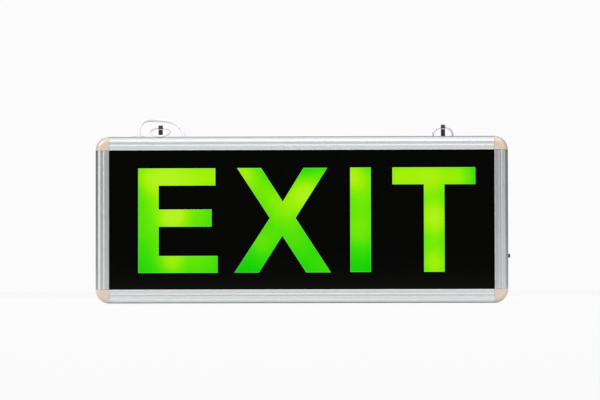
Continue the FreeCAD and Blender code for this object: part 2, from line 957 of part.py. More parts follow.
def tube_path(route):
    """Straight runs joined by tangent arcs, each as large as its two runs allow."""
    points = [Vector(*corner) for corner in route]
    edges, radii, start = [], [], points[0]
    for before, corner, after in zip(points, points[1:], points[2:]):
        back, ahead = (before - corner), (after - corner)
        reach = ROUTE_SHARE * min(back.Length, ahead.Length)
        back.normalize()
        ahead.normalize()
        half_turn = (math.pi - back.getAngle(ahead)) / 2
        first, last = corner + back * reach, corner + ahead * reach
        radius = reach / math.tan(half_turn)
        bisector = (back + ahead).normalize()
        middle = corner + bisector * (radius / math.cos(half_turn) - radius)
        edges.append(Part.LineSegment(start, first).toShape())
        edges.append(Part.Arc(first, middle, last).toShape())
        radii.append(radius)
        start = last
    edges.append(Part.LineSegment(start, points[-1]).toShape())
    return Part.Wire(edges), radii


def piped(name, wire, radius, corners):
    """A round tube along a wire; its length and volume are printed."""
    first = wire.OrderedEdges[0]
    start = first.valueAt(first.FirstParameter)
    ring = Part.Wire([Part.makeCircle(radius, start, first.tangentAt(first.FirstParameter))])
    shape = wire.makePipeShell([ring], True, corners == SMOOTH, corners)
    expected = math.pi * radius**2 * wire.Length
    print(f"{name}: {wire.Length:.1f} mm long, volume {shape.Volume:.1f} of {expected:.1f}")
    piece = doc.addObject("Part::Feature", name)
    piece.Shape = shape
    return piece


def tube(name, route, radius):
    """A tube with an arc at each corner of its route; its bends are printed."""
    wire, radii = tube_path(route)
    print(f"{name}: bend radii {[round(r, 1) for r in radii]}")
    return piped(name, wire, radius, SMOOTH)


def mitred_tube(name, route, radius):
    """A tube of straight runs, for what lies out of sight inside the sign."""
    wire = Part.makePolygon([Vector(*corner) for corner in route])
    return piped(name, wire, radius, MITRED)


def build_leads():
    """The battery's, the lights' and the switch board's leads to the driver board."""
    radius = DRIVING["lead_radius"]
    leads = [mitred_tube(name, route, radius) for name, route in LEAD_ROUTES.items()]
    keep(group("lead_group", leads), "inner_leads")


def build_grommet():
    """The soft bush that grips the cord where it passes the top rail."""
    bush = body("bush")
    bore, neck = size("cord_radius"), size("grommet_neck")
    flange, barb = size("grommet_radius"), size("grommet_barb_radius")
    under = -size("rail_wall")
    crown = size("grommet_height")
    corners = [
        (bore, under - size("grommet_barb")),
        (neck, under - size("grommet_barb")),
        (barb, under),
        (neck, under),
        (neck, 0),
        (flange, 0),
        (flange - crown / 2, crown),
        (bore, crown),
    ]
    revolve(bush, outline(bush, "bush_section", "XZ_Plane", corners), 360)
    place(bush, -size("grommet_offset"), size("grommet_depth"), size("sign_height"))
    keep(bush, "cord_grommet")


def coil_levels():
    """The depth-plan centre of the coil, the radius of its top turn, and the levels of its two layers."""
    centre = (size("coil_centre_across"), size("coil_centre_depth"))
    top_turn = (size("coil_inner_turn") + size("coil_outer_turn")) / 2
    low = size("cord_radius")
    spread = (size("coil_outer_turn") - size("coil_inner_turn")) / 2
    return centre, top_turn, low, low + root_of_difference(low * 2, spread)


def build_cord():
    """The cord: inside and outside tubes, the coil they end in, and the two stripped cores."""
    radius = DRIVING["cord_radius"]
    keep(mitred_tube("inside_lead", INNER_ROUTE, radius), "cord_inside")
    keep(tube("outside_lead", CORD_ROUTE, radius), "mains_cord")

    (across, deep), top_turn, low, high = coil_levels()
    slack = size("coil_slack")
    inner, outer = size("coil_inner_turn") - low - slack, size("coil_outer_turn") + low + slack
    rim, crown = low / 2, high + low + slack
    ring = body("coil_ring")
    corners = [
        (inner, rim),
        (inner + rim, 0),
        (outer - rim, 0),
        (outer, rim),
        (outer, low * 2),
        (top_turn + low + slack, crown - rim),
        (top_turn + rim, crown),
        (top_turn - rim, crown),
        (top_turn - low - slack, crown - rim),
        (inner, low * 2),
    ]
    revolve(ring, outline(ring, "coil_section", "XZ_Plane", corners), 360)
    place(ring, across, deep, 0)
    lead_end = CORD_ROUTE[-1][0]
    lead = cylinder(
        "coil_lead", (lead_end, deep - top_turn, high), low, across - lead_end, ALONG_X
    )
    tail_length, tail_level = size("coil_tail"), low + slack
    tail_deep = deep + size("coil_outer_turn")
    tail = cylinder("coil_tail", (across, tail_deep, tail_level), low, tail_length, AGAINST_X)
    keep(fuse("coil_fuse", [ring, lead, tail]), "cord_coil")

    cores = []
    core, wire = size("core_radius"), size("wire_radius")
    for name, sign in (("live", -1), ("neutral", 1)):
        foot = (across - tail_length, tail_deep + size("core_spread") * sign, tail_level)
        sleeve = cylinder(f"{name}_core", foot, core, size("core_length"), AGAINST_X)
        strands = cylinder(
            f"{name}_wire", foot, wire, size("core_length") + size("strip_length"), AGAINST_X
        )
        cores.append(fuse(f"{name}_end", [sleeve, strands]))
    keep(group("core_group", cores), "cord_cores")


# ---------------------------------------------------------------- build, check and write

def check():
    """Stops before anything is written if an object failed or a piece is empty or broken."""
    bad = [thing.Label for thing in doc.Objects if {"Invalid", "Error"} & set(thing.State)]
    if bad:
        raise RuntimeError(f"failed objects: {bad}")
    for piece in nodes:
        if piece.Shape.isNull() or not piece.Shape.isValid() or not piece.Shape.Solids:
            raise RuntimeError(f"{piece.Label} has no valid solid")


fill_sheet()
build_rails()
build_caps()
build_sheets()
build_lights()
build_battery()
build_driver()
build_components()
build_test_switch()
build_hangers()
build_leads()
build_grommet()
build_cord()
doc.recompute()
check()
os.makedirs("parts", exist_ok=True)
for piece in nodes:
    piece.Shape.exportStep(f"parts/{piece.Label}.step")
    print(f"{piece.Label}: {len(piece.Shape.Solids)} solid, {piece.Shape.Volume:.1f} mm3")
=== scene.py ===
"""Looks of the ceiling-hung emergency exit light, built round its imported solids.

Lengths are in metres unless a comment says mm, in the frame of the solids: X along the
sign, the lit face towards -Y, Z up from the floor that its lower edge stands on.
"""

import math

import bmesh
import bpy
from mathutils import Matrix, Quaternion, Vector


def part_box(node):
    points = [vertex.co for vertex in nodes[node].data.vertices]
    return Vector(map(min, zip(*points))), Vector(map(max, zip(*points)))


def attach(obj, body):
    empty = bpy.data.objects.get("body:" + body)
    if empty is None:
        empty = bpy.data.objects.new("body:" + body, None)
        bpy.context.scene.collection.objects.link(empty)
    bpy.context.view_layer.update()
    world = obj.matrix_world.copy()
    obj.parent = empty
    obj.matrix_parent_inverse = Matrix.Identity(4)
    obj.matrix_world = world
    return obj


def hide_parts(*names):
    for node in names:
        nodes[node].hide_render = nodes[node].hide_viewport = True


MM = 0.001

# Sockets of a colour Mix node, whose names it shares with its other kinds.
MIX_FIRST = 6
MIX_SECOND = 7
MIX_RESULT = 2

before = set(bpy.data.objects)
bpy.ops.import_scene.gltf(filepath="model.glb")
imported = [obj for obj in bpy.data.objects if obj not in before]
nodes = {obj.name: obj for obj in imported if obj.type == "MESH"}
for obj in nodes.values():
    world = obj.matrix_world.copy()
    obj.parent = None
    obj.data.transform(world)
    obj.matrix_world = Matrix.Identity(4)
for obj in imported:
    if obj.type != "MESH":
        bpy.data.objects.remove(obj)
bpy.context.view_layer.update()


# ------------------------------------------------------------------ camera

# Chosen so that the sign's edges fall where the photograph has them.
VIEW_DISTANCE = 2.6
VIEW_TURN = math.radians(1.0)
VIEW_ROLL = math.radians(-0.12)
LENS_HEIGHT = 12 * MM
AIM = Vector((-1.35 * MM, -11 * MM, 89.85 * MM))
# Focal length and sensor width in mm, as Blender takes them.
FOCAL_LENGTH = 179.0
SENSOR_WIDTH = 36.0
CLIP_NEAR = 0.05
CLIP_FAR = 60.0


def add_camera():
    data = bpy.data.cameras.new("camera")
    data.lens = FOCAL_LENGTH
    data.sensor_width = SENSOR_WIDTH
    data.clip_start = CLIP_NEAR
    data.clip_end = CLIP_FAR
    camera = bpy.data.objects.new("camera", data)
    bpy.context.scene.collection.objects.link(camera)
    away = Vector((math.sin(VIEW_TURN), -math.cos(VIEW_TURN), 0))
    camera.location = AIM + VIEW_DISTANCE * away
    camera.location.z = LENS_HEIGHT
    level = (AIM - camera.location).to_track_quat("-Z", "Y")
    camera.rotation_euler = (level @ Quaternion((0, 0, 1), VIEW_ROLL)).to_euler()
    bpy.context.scene.camera = camera


add_camera()


# ---------------------------------------------------------- node materials


def linear(red, green, blue):
    """Linear colour for one that is given as it looks on a screen, 0 to 255."""
    out = []
    for value in (red, green, blue):
        v = value / 255
        out.append(v / 12.92 if v <= 0.04045 else ((v + 0.055) / 1.055) ** 2.4)
    return (*out, 1.0)


def dimmed(colour, share):
    """The same opaque colour at a share of its brightness."""
    return (*[share * c for c in colour[:3]], 1.0)


class Nodes:
    """A material's node tree, with short calls for the nodes that the finishes share."""

    def __init__(self, name):
        self.material = bpy.data.materials.new(name)
        self.material.use_nodes = True
        self.tree = self.material.node_tree
        self.shader = self.tree.nodes["Principled BSDF"]
        self.place = self.add("ShaderNodeTexCoord").outputs["Object"]

    def add(self, kind, **settings):
        node = self.tree.nodes.new(kind)
        for key, value in settings.items():
            setattr(node, key, value)
        return node

    def link(self, output, target):
        self.tree.links.new(output, target)

    def feed(self, target, value):
        if isinstance(value, bpy.types.NodeSocket):
            self.link(value, target)
        else:
            target.default_value = value

    def math(self, operation, first, second=0.0):
        node = self.add("ShaderNodeMath", operation=operation)
        self.feed(node.inputs[0], first)
        self.feed(node.inputs[1], second)
        return node.outputs[0]

    def stretched(self, scale):
        """The object's own coordinates, in grains per metre along X, Y and Z."""
        node = self.add("ShaderNodeVectorMath", operation="MULTIPLY")
        self.link(self.place, node.inputs[0])
        node.inputs[1].default_value = scale
        return node.outputs[0]

    def noise(self, scale, detail=3.0, rough=0.55):
        node = self.add("ShaderNodeTexNoise")
        self.link(self.stretched(scale), node.inputs["Vector"])
        node.inputs["Scale"].default_value = 1.0
        node.inputs["Detail"].default_value = detail
        node.inputs["Roughness"].default_value = rough
        return node.outputs["Fac"]

    def between(self, value, low, high):
        """value, which runs from 0 to 1, put between low and high."""
        node = self.add("ShaderNodeMapRange")
        self.link(value, node.inputs["Value"])
        node.inputs["To Min"].default_value = low
        node.inputs["To Max"].default_value = high
        return node.outputs["Result"]

    def mix(self, factor, first, second):
        node = self.add("ShaderNodeMix", data_type="RGBA")
        self.feed(node.inputs["Factor"], factor)
        self.feed(node.inputs[MIX_FIRST], first)
        self.feed(node.inputs[MIX_SECOND], second)
        return node.outputs[MIX_RESULT]

    def ramp(self, value, stops):
        node = self.add("ShaderNodeValToRGB")
        self.link(value, node.inputs["Fac"])
        elements = node.color_ramp.elements
        while len(elements) < len(stops):
            elements.new(0.5)
        for element, (position, colour) in zip(elements, stops):
            element.position = position
            element.color = colour
        return node.outputs["Color"]

    def bump(self, height, strength, distance):
        node = self.add("ShaderNodeBump")
        self.link(height, node.inputs["Height"])
        node.inputs["Strength"].default_value = strength
        node.inputs["Distance"].default_value = distance
        self.link(node.outputs["Normal"], self.shader.inputs["Normal"])

    def set(self, **values):
        for key, value in values.items():
            self.feed(self.shader.inputs[key.replace("_", " ")], value)


RAIL_WIDTH = 12 * MM
FRAME_HALF_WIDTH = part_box("right_rail")[1][0]
FRAME_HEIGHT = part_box("top_rail")[1][2]

# Grains per metre along a rail and across it, for its fine lines and its broader bands.
FINE_ALONG = 7.0
FINE_ACROSS = 5200.0
BROAD_ALONG = 2.5
BROAD_ACROSS = 900.0
TANGENT_TURN = 0.25


def rail_painted_light(painted_groove_shade):
    """Painted highlight and shade across a rail: shares of its width in from the frame's edge, and
    tones.
    """
    return [
        (0.00, 0.35),
        (0.20, 0.35),
        (0.24, 0.95),
        (0.40, 0.95),
        (0.44, painted_groove_shade),
        (0.60, painted_groove_shade),
        (0.63, 1.00),
        (0.69, 1.00),
        (0.72, 0.66),
        (0.93, 0.66),
        (0.96, 1.00),
    ]


def brushed_aluminium(name, along, painted_groove_shade):
    """Satin aluminium whose colour carries painted highlights and painted shade: bright and dull
    lines along the rail, at set widths in from the frame's edge.

    along is the rail's own axis, 0 or 2, and the last argument the tone of its widest band of
    painted shade.
    """
    m = Nodes(name)
    fine = [FINE_ALONG if axis == along else FINE_ACROSS for axis in range(3)]
    broad = [BROAD_ALONG if axis == along else BROAD_ACROSS for axis in range(3)]
    lines = m.noise(fine, detail=2.0)
    bands = m.noise(broad, detail=3.0)
    split = m.add("ShaderNodeSeparateXYZ")
    m.link(m.place, split.inputs[0])
    across, _, up = split.outputs
    if along == 0:
        inward = m.math("MINIMUM", up, m.math("SUBTRACT", FRAME_HEIGHT, up))
    else:
        inward = m.math("SUBTRACT", FRAME_HALF_WIDTH, m.math("ABSOLUTE", across))
    # Painted highlights and painted shade: the ramp makes bright and dull bands across the rail by
    # distance in from the frame's edge.
    stops = [(place, (tone, tone, tone, 1.0)) for place, tone in rail_painted_light(painted_groove_shade)]
    tone = m.ramp(m.math("MULTIPLY", inward, 1 / RAIL_WIDTH), stops)
    colour = m.mix(tone, linear(198, 201, 203), linear(240, 242, 243))
    worn = m.mix(m.between(bands, 0.0, 0.3), colour, linear(222, 224, 226))
    m.set(Base_Color=m.mix(m.between(lines, 0.0, 0.2), worn, linear(208, 210, 213)))
    m.set(Metallic=1.0, Roughness=m.between(lines, 0.22, 0.27), Anisotropic=0.75)
    m.shader.inputs["Anisotropic Rotation"].default_value = TANGENT_TURN
    run = m.add("ShaderNodeCombineXYZ")
    run.inputs[along].default_value = 1.0
    m.link(run.outputs[0], m.shader.inputs["Tangent"])
    m.bump(lines, 0.03, 0.02 * MM)
    return m.material


def moulded_plastic(name, colour, shade, rough=0.3, grain=0.25, coat=0.0):
    """Moulded plastic: a faint mottle in the colour and a fine skin that breaks up the gloss."""
    m = Nodes(name)
    mottle = m.noise((55.0, 55.0, 55.0), detail=4.0)
    skin = m.noise((2600.0, 2600.0, 2600.0), detail=2.0)
    m.set(Base_Color=m.mix(mottle, colour, shade))
    m.set(Roughness=m.between(skin, rough * 0.85, rough * 1.2), Coat_Weight=coat)
    m.shader.inputs["Coat Roughness"].default_value = 0.12
    m.shader.inputs["Coat IOR"].default_value = 1.8
    m.bump(skin, grain, 0.02 * MM)
    return m.material


# How bright the darker patches of worn metal and handled sheath are.
WORN_SHARE = 0.86


def polished_metal(name, colour, rough, metallic=1.0):
    """Plated or turned metal, with hairline wear in the gloss."""
    m = Nodes(name)
    wear = m.noise((900.0, 900.0, 240.0), detail=3.0)
    tone = m.noise((120.0, 120.0, 120.0), detail=2.0)
    m.set(Base_Color=m.mix(tone, colour, dimmed(colour, WORN_SHARE)), Metallic=metallic)
    m.set(Roughness=m.between(wear, rough * 0.7, rough * 1.5))
    m.bump(wear, 0.05, 0.01 * MM)
    return m.material


# Height and half the width of the painted highlight across the straps, a bright line.
FOLD_HIGHLIGHT_HEIGHT = 152.4 * MM
FOLD_HIGHLIGHT_HALF = 0.4 * MM


def strap_with_painted_light():
    """Plated strip with a dark base colour painted for the dark reflection it shows, and a painted
    highlight across it as a bright line.
    """
    m = Nodes("strap_plating")
    wear = m.noise((900.0, 900.0, 240.0), detail=3.0)
    split = m.add("ShaderNodeSeparateXYZ")
    m.link(m.place, split.inputs[0])
    # Painted highlight: a bright band across the strip at the fold's height.
    away = m.math("ABSOLUTE", m.math("SUBTRACT", split.outputs[2], FOLD_HIGHLIGHT_HEIGHT))
    line = m.math("LESS_THAN", away, FOLD_HIGHLIGHT_HALF)
    # Painted reflection: the dark base colour stands in for the dark surroundings that the plated
    # strip mirrors.
    dark = m.mix(wear, linear(62, 56, 54), linear(44, 40, 40))
    m.set(Base_Color=m.mix(line, dark, linear(240, 240, 240)), Metallic=0.4)
    m.set(Roughness=m.between(wear, 0.12, 0.25))
    return m.material


def legend_black():
    """Black acrylic: deep gloss with the faintest dust in the sheen."""
    m = Nodes("legend_black")
    haze = m.noise((30.0, 30.0, 30.0), detail=4.0)
    dust = m.noise((1800.0, 1800.0, 1800.0), detail=2.0)
    m.set(Base_Color=m.mix(haze, linear(1, 2, 0), linear(4, 5, 2)))
    m.set(Roughness=m.between(dust, 0.05, 0.09))
    m.shader.inputs["Specular IOR Level"].default_value = 0.12
    return m.material


# Soft spots of brighter green behind the letters, placed to match the photograph.
# Each row has its place across and up in mm, its brightness and its spread in mm.
GLOWS = [
    (-138, 110, 0.22, 11),
    (-122, 111, 0.80, 20),
    (-92, 110, 0.60, 20),
    (-72, 112, 0.40, 13),
    (-112, 76, 0.60, 11),
    (-116, 72, 0.53, 36),
    (-82, 76, 0.10, 16),
    (-113, 36, 0.52, 13),
    (-84, 36, 0.28, 18),
    (-52, 112, 0.72, 17),
    (-28, 94, 0.42, 18),
    (4, 96, 0.86, 15),
    (16, 112, 0.20, 10),
    (-12, 78, 0.45, 18),
    (-34, 53, 0.38, 15),
    (-2, 52, 0.25, 16),
    (20, 32, 0.20, 14),
    (42, 112, 0.74, 14),
    (56, 108, 0.20, 14),
    (52, 92, 0.36, 17),
    (50, 64, 0.50, 20),
    (84, 110, 0.68, 17),
    (112, 110, 0.80, 19),
    (138, 110, 0.55, 14),
    (116, 76, 0.82, 15),
    (115, 56, 0.36, 18),
    (116, 33, 0.70, 15),
]


LETTER_GREEN = [
    (0.0, linear(0, 209, 0)),
    (0.25, linear(62, 224, 0)),
    (0.50, linear(112, 234, 0)),
    (0.78, linear(163, 242, 0)),
    (1.0, linear(178, 245, 30)),
]
LETTER_STRENGTH = 0.98


def letter_glow(name, lift):
    """Green light through the acrylic, in soft spots. lift is a rim's share of pale green."""
    m = Nodes(name)
    split = m.add("ShaderNodeSeparateXYZ")
    m.link(m.place, split.inputs[0])
    x, _, z = split.outputs
    total = 0.0
    for across, up, bright, spread in GLOWS:
        per_spread = 1 / (spread * MM)
        dx = m.math("MULTIPLY", m.math("SUBTRACT", x, across * MM), per_spread)
        dz = m.math("MULTIPLY", m.math("SUBTRACT", z, up * MM), per_spread)
        square = m.math("ADD", m.math("MULTIPLY", dx, dx), m.math("MULTIPLY", dz, dz))
        spot = m.math("EXPONENT", m.math("MULTIPLY", square, -1.0))
        total = m.math("ADD", total, m.math("MULTIPLY", spot, bright))
    grain = m.between(m.noise((160.0, 160.0, 160.0), detail=3.0), -0.05, 0.05)
    colour = m.ramp(m.math("ADD", total, grain), LETTER_GREEN)
    if lift:
        colour = m.mix(lift, colour, linear(205, 236, 176))
    m.set(Base_Color=linear(2, 14, 1), Roughness=0.18, Emission_Color=colour)
    m.shader.inputs["Emission Strength"].default_value = LETTER_STRENGTH
    m.shader.inputs["Specular IOR Level"].default_value = 0.05
    return m.material


def cord_vinyl(name, colour):
    """Flexible vinyl sheath, slightly translucent, with a soft gloss and handling marks."""
    m = Nodes(name)
    marks = m.noise((220.0, 220.0, 220.0), detail=4.0)
    darker = dimmed(colour, WORN_SHARE)
    m.set(Base_Color=m.mix(m.between(marks, 0.0, 0.5), colour, darker))
    m.set(Roughness=m.between(marks, 0.36, 0.5))
    m.bump(m.noise((1500.0, 1500.0, 1500.0)), 0.15, 0.02 * MM)
    m.set(Subsurface_Weight=0.6, Subsurface_Scale=3 * MM)
    m.shader.inputs["Subsurface Radius"].default_value = (1.0, 1.0, 1.0)
    return m.material


def circuit_board():
    """Green solder resist with copper tracks that show through as paler lines."""
    track_half = 0.09
    m = Nodes("circuit_board")
    tracks = m.add("ShaderNodeTexVoronoi", feature="DISTANCE_TO_EDGE", distance="MANHATTAN")
    m.link(m.stretched((260.0, 260.0, 260.0)), tracks.inputs["Vector"])
    tracks.inputs["Scale"].default_value = 1.0
    line = m.math("LESS_THAN", tracks.outputs["Distance"], track_half)
    mottle = m.noise((70.0, 70.0, 70.0))
    resist = m.mix(mottle, linear(18, 84, 44), linear(28, 104, 56))
    m.set(Base_Color=m.mix(line, resist, linear(58, 140, 84)))
    m.set(Roughness=m.between(mottle, 0.25, 0.4))
    m.bump(line, 0.3, 0.03 * MM)
    return m.material


def laminations():
    """A transformer's stacked steel sheets, dark varnish between them."""
    m = Nodes("laminations")
    wave = m.add("ShaderNodeTexWave", wave_type="BANDS", bands_direction="Z")
    m.link(m.stretched((1.0, 1.0, 900.0)), wave.inputs["Vector"])
    wave.inputs["Scale"].default_value = 1.0
    wave.inputs["Distortion"].default_value = 0.4
    m.set(Base_Color=m.mix(wave.outputs["Fac"], linear(52, 50, 48), linear(112, 110, 108)))
    m.set(Metallic=0.8, Roughness=0.45)
    m.bump(wave.outputs["Fac"], 0.4, 0.05 * MM)
    return m.material


def lens(name, colour):
    """Tinted lens of a small lamp, faintly clouded."""
    m = Nodes(name)
    cloud = m.noise((400.0, 400.0, 400.0), detail=2.0)
    m.set(Base_Color=m.mix(cloud, colour, dimmed(colour, 0.7)), Roughness=0.12)
    m.shader.inputs["Coat Weight"].default_value = 0.5
    return m.material


def dress_nodes():
    """Gives every solid that the cord's own piece doesn't replace its finish."""
    along_x = brushed_aluminium("aluminium_along", 0, 0.0)
    along_z = brushed_aluminium("aluminium_upright", 2, 0.35)
    cap = moulded_plastic(
        "cap_plastic", linear(206, 190, 170), linear(197, 181, 160), 0.24, 0.1, coat=1.0
    )
    board = circuit_board()
    chrome = polished_metal("hanger_chrome", linear(248, 248, 250), 0.1, metallic=0.2)
    # The straps: plating painted dark for the reflection it shows, with a painted highlight line.
    strap_painted_dark_reflection = strap_with_painted_light()
    spring = polished_metal("spring_steel", linear(176, 178, 182), 0.2)
    dark = moulded_plastic("dark_plastic", linear(40, 41, 43), linear(54, 54, 56), 0.4)
    rear = moulded_plastic("rear_plastic", linear(214, 215, 213), linear(203, 204, 202), 0.4)
    finishes = {
        "top_rail": along_x,
        "bottom_rail": along_x,
        "left_rail": along_z,
        "right_rail": along_z,
        "corner_cap_top_left": cap,
        "corner_cap_top_right": cap,
        "corner_cap_bottom_left": cap,
        "corner_cap_bottom_right": cap,
        "legend_panel": legend_black(),
        "diffuser_sheet": moulded_plastic(
            "diffuser", linear(232, 238, 226), linear(222, 230, 216), 0.5
        ),
        "rear_panel": rear,
        "led_board_left": board,
        "led_board_right": board,
        "led_board_top": board,
        "switch_board": board,
        "driver_board": board,
        "leds": lens("light_lens", linear(206, 240, 176)),
        "battery_pack": moulded_plastic(
            "battery_sleeve", linear(32, 92, 150), linear(24, 76, 130), 0.28
        ),
        "battery_clip": spring,
        "board_standoffs": polished_metal("standoff_brass", linear(206, 172, 104), 0.25),
        "board_screws": spring,
        "transformer": laminations(),
        "mains_capacitor": moulded_plastic(
            "capacitor_case", linear(206, 168, 40), linear(190, 150, 34), 0.35
        ),
        "smoothing_capacitor": moulded_plastic(
            "can_sleeve", linear(30, 34, 60), linear(40, 44, 74), 0.3
        ),
        "terminal_block": moulded_plastic(
            "terminal_plastic", linear(44, 120, 74), linear(36, 104, 62), 0.42
        ),
        "test_button": moulded_plastic(
            "button_plastic", linear(44, 44, 44), linear(34, 34, 35), 0.3
        ),
        "switch_plunger": dark,
        "test_switch": dark,
        "charge_lamp": lens("charge_lamp_lens", linear(60, 190, 70)),
        "fault_lamp": lens("fault_lamp_lens", linear(206, 120, 40)),
        "hanger_strap_left": strap_painted_dark_reflection,
        "hanger_strap_right": strap_painted_dark_reflection,
        "hanger_ring_left": chrome,
        "hanger_ring_right": chrome,
        "cord_grommet": moulded_plastic(
            "grommet_rubber", linear(222, 222, 220), linear(210, 210, 208), 0.5, 0.4
        ),
        "inner_leads": cord_vinyl("lead_sheath", linear(60, 60, 64)),
        "cord_inside": cord_vinyl("cord_inside", linear(226, 226, 226)),
        "cord_cores": cord_vinyl("core_sheath", linear(186, 190, 196)),
    }
    for name, finish in finishes.items():
        slots = nodes[name].data.materials
        slots.clear()
        slots.append(finish)


# ------------------------------------------------------------------- cord

CORD_DIAMETER = 3 * MM

# The lead's route in mm, as in the part's source: from the grommet, over the back of the frame and
# down to the coil. Only its last three heights differ, to meet the turns that lie on one another.
LEAD = [
    (-143.0, 1.5, 146.6),
    (-143.0, 1.5, 150.8),
    (-142.3, 3.0, 154.8),
    (-140.9, 6.1, 158.0),
    (-138.6, 10.6, 160.1),
    (-135.6, 16.2, 161.2),
    (-131.6, 22.4, 161.6),
    (-125.6, 27.0, 161.7),
    (-118.2, 28.4, 161.3),
    (-111.2, 27.6, 158.6),
    (-106.2, 26.2, 153.2),
    (-103.6, 24.6, 145.4),
    (-102.6, 22.8, 131.5),
    (-102.8, 21.0, 104.5),
    (-103.8, 20.2, 68.5),
    (-102.8, 19.7, 40.5),
    (-101.4, 19.2, 22.5),
    (-98.8, 19.1, 12.8),
    (-93.5, 19.0, 7.2),
    (-87.0, 18.95, 4.9),
    (-79.5, 18.95, 4.7),
]
# The coil's centre in mm, and the degrees between the corners of its spline.
COIL_CENTRE = (-66.0, 36.0)
COIL_STEP = 30
# Corners of a quadratic spline lie this much outside the turn that it draws.
CORNER_REACH = 4 / (3 + math.cos(math.radians(COIL_STEP)))
# Radius and height of the turn in mm, by how many degrees it has run from its start at the front.
COIL_STAGES = [
    (0, 17.0, 4.65),
    (150, 17.0, 4.65),
    (240, 17.0, 4.3),
    (285, 15.5, 3.9),
    (330, 15.4, 1.6),
    (510, 15.5, 1.55),
    (585, 18.6, 1.55),
    (900, 18.6, 1.55),
]
# Length in mm of the straight end that leaves the coil.
COIL_TAIL = 24.0


def stage_at(turned):
    """Radius and height of the coil's line after it has turned so many degrees."""
    for (begun, *before), (ended, *after) in zip(COIL_STAGES, COIL_STAGES[1:]):
        if turned <= ended:
            share = (turned - begun) / (ended - begun)
            return tuple(old + share * (new - old) for old, new in zip(before, after))
    return COIL_STAGES[-1][1:]


def coil_points():
    """The turns that lie on one another, started at the front and left at the back."""
    middle_x, middle_y = COIL_CENTRE
    total, last_radius, last_height = COIL_STAGES[-1]
    front = math.radians(-90)
    points = []
    for turned in range(0, total + 1, COIL_STEP):
        radius, height = stage_at(turned)
        angle = math.radians(turned) + front
        reach = radius * CORNER_REACH
        x = middle_x + reach * math.cos(angle)
        y = middle_y + reach * math.sin(angle)
        points.append((x, y, height))
    back = middle_y + last_radius
    points.append((middle_x - 0.5 * COIL_TAIL, back, last_height))
    points.append((middle_x - COIL_TAIL, back, last_height))
    return points


def add_cord():
    curve = bpy.data.curves.new("mains_lead", "CURVE")
    curve.dimensions = "3D"
    curve.bevel_depth = CORD_DIAMETER / 2
    curve.bevel_resolution = 6
    curve.resolution_u = 8
    curve.use_fill_caps = True
    spline = curve.splines.new("NURBS")
    route = LEAD + coil_points()
    spline.points.add(len(route) - 1)
    for point, place in zip(spline.points, route):
        point.co = (*[c * MM for c in place], 1.0)
    spline.order_u = 3
    spline.use_endpoint_u = True
    piece = bpy.data.objects.new("mains_lead", curve)
    bpy.context.scene.collection.objects.link(piece)
    curve.materials.append(cord_vinyl("cord_sheath", linear(241, 245, 249)))
    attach(piece, "housing")
    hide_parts("mains_cord", "cord_coil")


# ----------------------------------------------------------------- legend

LETTER_RISE = 0.12 * MM
LETTER_RIM = 0.45 * MM
RIM_LIFT = 0.22


def letter_outlines():
    """Corners of the four letters, across and up, in mm, fitted to the photograph."""
    letter_e = [
        (-142.6, 26.5),
        (-73.3, 26.5),
        (-73.3, 41.3),
        (-124.7, 41.3),
        (-124.7, 66.8),
        (-78.5, 66.8),
        (-78.5, 81.85),
        (-124.7, 81.85),
        (-124.7, 102.7),
        (-75.2, 102.7),
        (-75.2, 117.75),
        (-142.6, 117.75),
    ]
    letter_x = [
        (-58.6, 26.7),
        (-37.3, 26.7),
        (-16.8, 58.7),
        (4.0, 26.7),
        (25.4, 26.7),
        (-5.3, 74.2),
        (22.5, 117.9),
        (1.7, 117.9),
        (-16.4, 88.5),
        (-35.3, 117.9),
        (-56.2, 117.9),
        (-27.7, 74.2),
    ]
    letter_i = [(42.4, 26.95), (60.4, 26.95), (60.4, 118.1), (42.4, 118.1)]
    letter_t = [
        (106.6, 27.0),
        (124.5, 27.0),
        (124.5, 103.3),
        (151.5, 103.3),
        (151.5, 118.1),
        (79.2, 118.1),
        (79.2, 103.3),
        (106.6, 103.3),
    ]
    return {"E": letter_e, "X": letter_x, "I": letter_i, "T": letter_t}


def letter_mesh(letter, corners):
    """A letter raised from the panel's face: its front is slot 0, its rim and sides slot 1."""
    face_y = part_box("legend_panel")[0][1]
    built = bmesh.new()
    ring = [built.verts.new((x * MM, face_y, z * MM)) for x, z in corners]
    flat = built.faces.new(ring)
    flat.normal_update()
    if flat.normal.y > 0:
        flat.normal_flip()
    raised = bmesh.ops.extrude_face_region(built, geom=[flat])["geom"]
    built.faces.remove(flat)
    for vert in raised:
        if isinstance(vert, bmesh.types.BMVert):
            vert.co.y -= LETTER_RISE
    front = [part for part in raised if isinstance(part, bmesh.types.BMFace)]
    for face in built.faces:
        face.material_index = 1
    bmesh.ops.inset_region(built, faces=front, thickness=LETTER_RIM, depth=0.0)
    front[0].material_index = 0
    built.normal_update()
    mesh = bpy.data.meshes.new("letter_" + letter)
    built.to_mesh(mesh)
    built.free()
    return mesh


def add_letters():
    glow = letter_glow("letter_glow", 0.0)
    rim = letter_glow("letter_rim", RIM_LIFT)
    for letter, corners in letter_outlines().items():
        mesh = letter_mesh(letter, corners)
        mesh.materials.append(glow)
        mesh.materials.append(rim)
        piece = bpy.data.objects.new("letter_" + letter, mesh)
        bpy.context.scene.collection.objects.link(piece)
        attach(piece, "housing")


# ------------------------------------------------------ floor and lighting

FLOOR_SIZE = 30.0
# How much of the floor, as the camera sees it, is the background's colour.
FLOOR_SHOWN = 0.9
BACKGROUND = linear(252, 251, 252)
FLOOR_TINT = linear(251, 252, 251)


